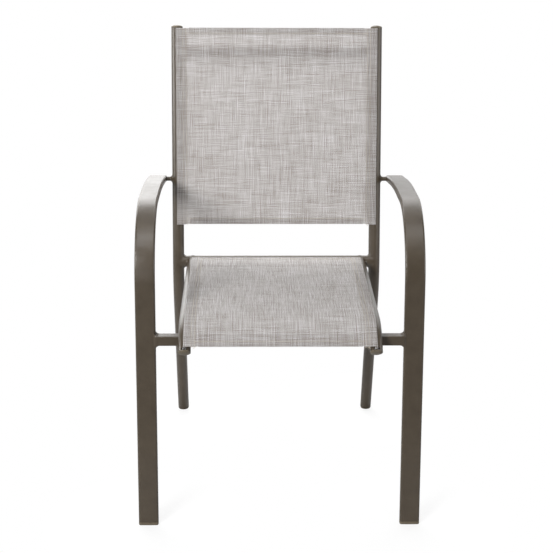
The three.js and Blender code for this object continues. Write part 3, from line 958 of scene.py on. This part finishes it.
def half_section(slot_x):
    """From the middle of the front layer to the inner edge of the hem behind it, on the
    right: over the fold, down the slot, round the rod, up again, and back."""
    columns = int(np.ceil((slot_x - COLUMNS_END) / COLUMN))
    points = [((slot_x - COLUMNS_END) * k / columns, FRONT_LAYER) for k in range(columns + 1)]
    fold_x = slot_x + FOLD_OUT - SHOULDER
    points += [(slot_x - FOLD_START, FRONT_LAYER), (fold_x, FRONT_LAYER - FOLD_DIP)]
    points += fan(fold_x, FRONT_LAYER - SHOULDER, SHOULDER, pi / 2, -pi / 2, FOLD_STEPS)
    points += [(slot_x + CLOTH / 2, TUBE_RADIUS - SLOT_DOWN)]
    neck = asin(CLOTH / 2 / CASING_RADIUS)
    points += [(slot_x + CLOTH / 2, CASING_DEPTH + CASING_RADIUS * cos(neck))]
    points += fan(
        slot_x, CASING_DEPTH, CASING_RADIUS, pi / 2 - neck, 2 * neck - 2 * pi, CASING_STEPS)
    start = slot_x - HEM_START
    run = slot_x - SIDE_HEM - start
    points += [(slot_x - CLOTH / 2, TUBE_RADIUS - SLOT_UP), (start, BACK_LAYER)]
    points += [(start + run * k / HEM_COLUMNS, BACK_LAYER) for k in range(1, HEM_COLUMNS + 1)]
    return np.array(points)


def pucker(x, s, start, end, slot_x, end_hem):
    """How far the stitches draw the cloth in, at a place across and along the sling."""
    depth = 0.0
    for over, run in (
        (abs(x) - (slot_x - SIDE_HEM + SEAM_INSET), s),
        (s - (start + end_hem - END_SEAM_INSET), x),
        (s - (end - end_hem + END_SEAM_INSET), x),
    ):
        near = max(0.0, 1 - abs(over) / PUCKER_REACH)
        wave = sum(sin(run / length + phase) for length, phase in PUCKER_WAVES)
        depth += PUCKER_DEPTH * near * near * (PUCKER_MEAN + PUCKER_SWING * wave)
    return depth


def end_hem_rows(mark, away, end_hem):
    """Place, height and cloth walked, for each row folded back behind an end."""
    rows = [
        (mark + away * HEM_FOLD * sin(a), FRONT_LAYER - HEM_FOLD * (1 - cos(a)), HEM_FOLD * a)
        for a in (pi / 4, pi / 2, 3 * pi / 4, pi)
    ]
    for depth in (end_hem / 2, end_hem):
        rows.append((mark - away * depth, FRONT_LAYER - CLOTH, HEM_FOLD_RUN + depth))
    return rows


def sling(name, node, line, start, end, slot_x, end_hem, start_drop=0.0, end_lip=0.0, tail=0.0):
    """One sheet: folded over at both sides round the rods, and folded back at both ends. The
    casings run on past its start by the tail."""
    half = half_section(slot_x)
    section = np.concatenate([(half * (-1, 1))[::-1], half[1:]])
    spread = distances_along(section)
    width = spread[-1]
    spread = spread - width / 2
    marks = line.stations(start, end, ROW)
    outside = section[:, 1] > TUBE_RADIUS + SEAM_GAP
    inward = (np.abs(section[:, 0]) - slot_x + SIDE_HEM) / SIDE_HEM
    corner = np.clip(inward * CORNER_RAMP, 0, 1) * outside

    def shaped(s, points, over):
        """Ring of these section points, drawn in by the stitches, past the end by over."""
        ring = []
        for (x, y), more in zip(points, over):
            dent = pucker(x, s, start, end, slot_x, end_hem) if y > BACK_LAYER - TINY else 0.0
            ring.append(line.ring(s + more, [(x, y - dent)], 0.0)[0])
        return np.array(ring)

    rings = []
    for s in marks:
        over = np.zeros(len(section))
        if s == start:
            over = -start_drop * corner - tail * ~outside
        if s == end:
            over = end_lip * outside
        rings.append(shaped(s, section, over))
    verts, faces = skin(rings, wrap=False)
    verts = list(verts)
    flat = [(u, s) for s in marks for u in spread]
    inner_edge = slot_x - SIDE_HEM - END_HEM_SHORT
    front = [
        k for k, (x, y) in enumerate(section)
        if abs(x) < inner_edge and y > FRONT_LAYER - TINY
    ]
    for row, mark, away in ((0, start, -1), (len(marks) - 1, end, 1)):
        last = [row * len(section) + k for k in front]
        lip = end_lip if away > 0 else 0.0
        for s, height, walked in end_hem_rows(mark, away, end_hem):
            base = len(verts)
            verts += list(shaped(s, [(section[k][0], height) for k in front], [lip] * len(front)))
            flat += [(spread[k], mark + away * walked) for k in front]
            new = list(range(base, base + len(front)))
            faces += list(zip(last, last[1:], new[1:], new))
            last = new
    obj = piece(name, verts, faces, cloth, [node], solid=False, sharp=70)
    layer = obj.data.uv_layers.new(name="Cloth")
    loops = np.zeros(len(obj.data.loops), np.int32)
    obj.data.loops.foreach_get("vertex_index", loops)
    layer.data.foreach_set("uv", np.array(flat)[loops].ravel())
    return obj, width, end - start + 2 * end_hem


# Sewing

STITCH = 0.0055
STITCH_RADIUS = 0.00034
STITCH_SAMPLES = 6
STITCH_SIDES = 6
STITCH_LIFT = 0.00045  # over the cloth
STITCH_DIP = 0.0011  # from there, between stitches
STITCH_DIP_POWER = 6  # how short the dip is
STITCH_JITTER = 0.00008
SEAM_STEP = 0.004
END_SEAM_POINTS = 60

LOOSE_RADIUS = 0.00018
LOOSE_SIDES = 5
LOOSE_STEPS = 9
LOOSE_HEADING = 1.0  # radians, to both sides
LOOSE_CURL = 260.0  # radians per metre
LOOSE_LENGTH = (0.003, 0.007)
LOOSE_SPREAD = 0.0016
LOOSE_LIFT = 0.0002
LOOSE_RISE = 0.35
LOOSE_SAG = 0.5
LOOSE_AHEAD = 0.001  # over which its direction along the cloth is taken
SEAT_LOOSE_INSET = 0.003


def on_cloth(line, s, x, lift=0.0):
    """A place on the front layer, and the direction away from the cloth."""
    point = line.ring(s, [(x, FRONT_LAYER + lift)], 0.0)[0]
    return point, line.ring(s, [(x, FRONT_LAYER + 1.0)], 0.0)[0] - point


def tangents(points):
    ways = np.gradient(points, axis=0)
    return ways / np.linalg.norm(ways, axis=1)[:, None]


def around(middle, radius, u, v, sides):
    turns = np.arange(sides) * 2 * pi / sides
    return [middle + radius * (cos(a) * u + sin(a) * v) for a in turns]


def stitch_row(name, places):
    """A thread that runs over the cloth and dips through it between stitches."""
    points, normals = (np.array(column) for column in zip(*places))
    marks = distances_along(points)
    total = marks[-1]
    stitches = max(2, int(total / STITCH))
    samples = stitches * STITCH_SAMPLES + 1
    spots = np.linspace(0, total, samples)
    at = np.stack([np.interp(spots, marks, points[:, k]) for k in range(3)], axis=1)
    up = np.stack([np.interp(spots, marks, normals[:, k]) for k in range(3)], axis=1)
    phase = spots / total * stitches
    lift = STITCH_LIFT - STITCH_DIP * np.abs(np.cos(phase * pi)) ** STITCH_DIP_POWER
    jitter = rng.normal(0, STITCH_JITTER, samples)
    side = np.cross(tangents(at), up)
    middles = at + up * lift[:, None] + side * jitter[:, None]
    rings = [around(m, STITCH_RADIUS, u, v, STITCH_SIDES) for m, u, v in zip(middles, up, side)]
    verts, faces = skin(rings, caps=True)
    return piece(name, verts, faces, thread, solid=True, sharp=80)


def seams(name, line, start, end, slot_x, end_hem):
    """Stitch rows along both side hems and both end hems."""
    rows = []
    marks = line.stations(start + SEAM_SHORT, end - SEAM_SHORT, SEAM_STEP)
    reach = slot_x - SIDE_HEM + SEAM_INSET
    for hand, side in SIDES:
        for row, more in (("inner", 0.0), ("outer", SEAM_PITCH)):
            places = [on_cloth(line, s, side * (reach + more)) for s in marks]
            rows.append(stitch_row(f"{name}_{row}_stitches_{hand}", places))
    first, last = start + end_hem - END_SEAM_INSET, end - end_hem + END_SEAM_INSET
    for row, s in (("start", first), ("end", last)):
        places = [on_cloth(line, s, x) for x in np.linspace(-reach, reach, END_SEAM_POINTS)]
        rows.append(stitch_row(f"{name}_{row}_stitches", places))
    return rows


def loose_thread(line, s, x):
    """Rings of one cut end, which curls out of the cloth towards the start."""
    base, up = on_cloth(line, s, x, LOOSE_LIFT)
    up = unit(up)
    onward = on_cloth(line, s + LOOSE_AHEAD, x)[0] - on_cloth(line, s, x)[0]
    along = -unit(onward)
    across = np.array((1.0, 0.0, 0.0))
    heading = rng.uniform(-LOOSE_HEADING, LOOSE_HEADING)
    curl = rng.uniform(-LOOSE_CURL, LOOSE_CURL)
    length = rng.uniform(*LOOSE_LENGTH)
    spot = base + across * rng.normal(0, LOOSE_SPREAD)
    points = []
    for k in range(LOOSE_STEPS + 1):
        t = k / LOOSE_STEPS
        angle = heading + curl * length * t
        way = along * cos(angle) + across * sin(angle) + up * (LOOSE_RISE - LOOSE_SAG * t)
        spot = spot + length / LOOSE_STEPS * way
        points.append(spot)
    ways = tangents(np.array(points))
    side = np.cross(ways, up)
    side /= np.linalg.norm(side, axis=1)[:, None]
    lift = np.cross(side, ways)
    return [around(m, LOOSE_RADIUS, u, v, LOOSE_SIDES) for m, u, v in zip(points, side, lift)]


def loose_threads(name, line, s, xs, count):
    """Cut ends of the sewing thread at places across one end of a sling."""
    verts, faces = [], []
    for x in xs:
        for _ in range(count):
            more, more_faces = skin(loose_thread(line, s, x), caps=True)
            faces += [tuple(i + len(verts) for i in face) for face in more_faces]
            verts += list(more)
    return piece(name, verts, faces, thread, solid=True, sharp=80)


def held_sling(place, tube, start, end, end_hem, loose, count, **ends):
    """A sling with its seams and the loose thread ends at places across its start."""
    line, _, slot_x = TUBES[tube]
    obj, width, length = sling(
        f"{place}_cloth", f"{place}_sling", line, start, end, slot_x, end_hem, **ends)
    rows = seams(place, line, start, end, slot_x, end_hem)
    rows.append(loose_threads(f"{place}_threads", line, start, loose, count))


def slings():
    start = post_line.where(1, BACK_SLING_BOTTOM)
    end = post_line.length - CLOTH_INSET
    hem_x = POST_X - SIDE_HEM + SEAM_INSET
    held_sling(
        "back", "post", start, end, BACK_END_HEM, (-hem_x, hem_x), 3, start_drop=CORNER_DROP)
    end = rail_line.length - TUBE_RADIUS - SEAM_GAP - CLOTH_INSET
    hem_x = RAIL_X - SIDE_HEM + SEAT_LOOSE_INSET
    loose = (-hem_x, hem_x, hem_x + SEAM_PITCH)
    held_sling(
        "seat", "rail", NOSE_CLOTH_INSET, end, SEAT_END_HEM, loose, 5,
        end_lip=REAR_LIP, tail=CASING_TAIL)


def rods():
    for place in ("back", "seat"):
        for hand, _ in SIDES:
            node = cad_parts[f"{place}_sling_rod_{hand}"]
            node.data.materials.clear()
            node.data.materials.append(rod_material)


def build_chair():
    for hand, side in SIDES:
        leg_and_arm(hand, side)
        back_post(hand, side)
        seat_rail(hand, side)
        arm_stub(hand, side)
        caps(hand, side)
        crossbar_weld(f"weld_rear_bar_{hand}", seat_bar, side, REAR_BAR_WELD)
        crossbar_weld(f"weld_top_bar_{hand}", top_bar, side, TOP_BAR_WELD)
        rail_weld(f"weld_rail_{hand}", side, RAIL_WELD)
        front_bar_weld(f"weld_front_bar_{hand}", side, FRONT_BAR_WELD)
        rail_tack(f"weld_rail_bar_{hand}", side, RAIL_WELD)
    round_crossbar("rear_bar", "rear_seat_crossbar", seat_bar)
    round_crossbar("top_bar", "back_top_crossbar", top_bar)
    front_crossbar()
    slings()
    rods()


# Studio

ROOM_REAR = 0.2  # level of the room behind the chair, between the panels
ROOM_FRONT = 0.05  # in front of it, over the horizon
ROOM_FLOOR = 0.3  # and under it
HORIZON = (-0.08, 0.02)  # rise of a direction over which the floor gives way to the front
REAR_EDGE = (-0.1, 0.1)

FLOOR_SIDE = 3.0
FLOOR_FRONT = 0.9
FLOOR_REAR = 6.0
FLOOR_BOUNCE = (188, 188, 188)  # its colour as it lights the chair
FLOOR_TONES = ((244, 244, 244), (247, 247, 247))  # as the camera sees it
SHADOW_CORE = 0.03  # how far from a foot its shadow is full
SHADOW_REACH = 0.22  # and how far it shows
SHADOW_WHITE = 0.80  # share of plain white in a full shadow

LOOK_AT = Vector((0.0, 0.0, 0.6))

# Each lamp: bearing and elevation in degrees as seen from between the arms, 0 to the back
# and positive to the right, distance, width, height, level, and whether it lights the matt
# share of the surfaces, their gloss, or both
LAMPS = {
    "key": (-149.5, 24.6, 2.3, 0.65, 0.65, 13.0, "gloss"),
    "key_soft": (-147.5, 24.6, 6.0, 1.7, 1.7, 39.0, "matt"),
    "right_soft": (147.5, 30, 6.0, 1.7, 1.7, 4.0, "matt"),
    "near_left": (-116, 46, 0.97, 0.4, 0.4, 1.2, "matt"),
    "high_left": (-160, 57, 2.3, 0.9, 0.9, 3.6, "gloss"),
    "high_front": (168, 73, 2.6, 1.8, 1.0, 1.5, "gloss"),
    "overhead": (0, 88, 2.2, 1.6, 1.6, 0.8, "both"),
    "high_right": (140, 54, 2.3, 1.2, 1.2, 1.3, "gloss"),
    "left_strip": (-95, 10, 2.2, 1.4, 0.6, 9.0, "gloss"),
    "right_strip": (95, 10, 2.2, 1.4, 0.9, 2.4, "both"),
    "front_right": (125, 10, 2.4, 1.2, 0.8, 2.8, "gloss"),
    "front_left": (-165, 8, 3.0, 1.2, 0.8, 1.2, "gloss"),
    "rear_left": (-25, 31, 5.0, 4.6, 3.0, 4.0, "both"),
    "rear_right": (25, 31, 5.0, 4.6, 3.0, 2.1, "both"),
    "rear_left_base": (-25, 4, 5.0, 4.6, 1.7, 2.3, "both"),
    "rear_right_base": (25, 4, 5.0, 4.6, 1.7, 0.9, "both"),
    "rear_top": (0, 57, 5.0, 6.0, 1.6, 1.15, "both"),
    "back_light": (-10, 42, 1.25, 0.4, 0.4, 8.0, "matt"),
}

CAMERA_PLACE = (-0.0587, SHIFT - 2.6199, 1.4435)
CAMERA_YAW = radians(1.10)
CAMERA_PITCH = radians(19.12)
CAMERA_ROLL = radians(0.32)
PICTURE_WIDTH = 553
FOCAL_LENGTH = 1439.4  # in the same pixels
SENSOR = 36.0


def studio_world():
    """Camera rays see white. The rest is a dim room, in which the lamps do the lighting."""
    world = bpy.data.worlds.new("studio")
    bpy.context.scene.world = world
    world.use_nodes = True
    n = Nodes(world.node_tree)
    camera_ray = n.add("LightPath").outputs["Is Camera Ray"]
    way = n.parts(n.add("TexCoord").outputs["Generated"])
    front = n.spread(way[2], *HORIZON, ROOM_FLOOR, ROOM_FRONT)
    behind = n.spread(way[1], *REAR_EDGE, 0.0, 1.0)
    strength = n.between(camera_ray, n.between(behind, front, ROOM_REAR), 1.0)
    sky = n.add("Background", {"Color": (1, 1, 1, 1), "Strength": strength})
    n.add("OutputWorld", {"Surface": sky.outputs[0]})


def studio_floor():
    """White; it keeps the shadow round the feet."""
    material, n, place = new_material("floor_white")
    camera_ray = n.add("LightPath").outputs["Is Camera Ray"]
    grain = n.noise(place, 30.0, 2.0)
    seen = n.toned(grain, FLOOR_TONES)
    matt = n.add("BsdfDiffuse", {"Color": n.mixed(camera_ray, colour(*FLOOR_BOUNCE), seen)})
    white = n.add("Emission", {"Color": (1, 1, 1, 1), "Strength": 1.0})
    folded = n.add("VectorMath", {0: place}, operation="ABSOLUTE").outputs[0]
    distances = []
    for foot in ("front_foot_cap_right", "rear_foot_cap_right"):
        spot = centre(foot)
        side = n.math("SUBTRACT", n.parts(folded)[0], spot.x)
        depth = n.math("SUBTRACT", n.parts(place)[1], spot.y)
        flat = n.add("CombineXYZ", {0: side, 1: depth}).outputs[0]
        length = n.add("VectorMath", {0: flat}, operation="LENGTH").outputs["Value"]
        distances.append(length)
    away = n.math("MINIMUM", *distances)
    share = n.spread(away, SHADOW_CORE, SHADOW_REACH, SHADOW_WHITE, 1.0)
    keep = n.math("MULTIPLY", camera_ray, share)
    mix = n.add("MixShader", {0: keep, 1: matt.outputs[0], 2: white.outputs[0]})
    n.output(mix.outputs[0])
    mesh = bpy.data.meshes.new("floor")
    side, front, rear = FLOOR_SIDE, FLOOR_FRONT, FLOOR_REAR
    corners = [(-side, -front, 0), (side, -front, 0), (side, rear, 0), (-side, rear, 0)]
    mesh.from_pydata(corners, [], [(0, 1, 2, 3)])
    mesh.materials.append(material)
    linked("floor", mesh)


def toward(bearing, elevation, distance):
    a, e = radians(bearing), radians(elevation)
    return Vector((sin(a) * cos(e), cos(a) * cos(e), sin(e))) * distance + LOOK_AT


def area_lamp(name, place, width, height, level):
    """A white panel of that brightness, where 1 is white."""
    lamp = bpy.data.lights.new(name, "AREA")
    lamp.shape = "RECTANGLE"
    lamp.size, lamp.size_y = width, height
    lamp.energy = level * pi * width * height
    obj = linked(name, lamp)
    obj.location = place
    obj.rotation_euler = (LOOK_AT - place).to_track_quat("-Z", "Y").to_euler()
    obj.visible_camera = False
    return obj


def studio_lamps():
    for name, (bearing, elevation, distance, width, height, level, share) in LAMPS.items():
        lamp = area_lamp(name, toward(bearing, elevation, distance), width, height, level)
        lamp.visible_glossy = share != "matt"
        lamp.visible_diffuse = share != "gloss"
        lamp.visible_transmission = share != "gloss"


def camera():
    level_y = cos(CAMERA_PITCH)
    forward = Vector((sin(CAMERA_YAW) * level_y, cos(CAMERA_YAW) * level_y, -sin(CAMERA_PITCH)))
    right = Vector((cos(CAMERA_YAW), -sin(CAMERA_YAW), 0.0))
    up = right.cross(forward)
    rolled_right = right * cos(CAMERA_ROLL) + up * sin(CAMERA_ROLL)
    rolled_up = up * cos(CAMERA_ROLL) - right * sin(CAMERA_ROLL)
    data = bpy.data.cameras.new("camera")
    data.sensor_width = SENSOR
    data.lens = FOCAL_LENGTH / PICTURE_WIDTH * SENSOR
    obj = linked("camera", data)
    turn = Matrix((rolled_right, rolled_up, -forward)).transposed()
    obj.matrix_world = Matrix.Translation(CAMERA_PLACE) @ turn.to_4x4()
    bpy.context.scene.camera = obj


build_chair()
studio_world()
studio_floor()
studio_lamps()
camera()
bpy.context.scene.view_settings.view_transform = "Standard"
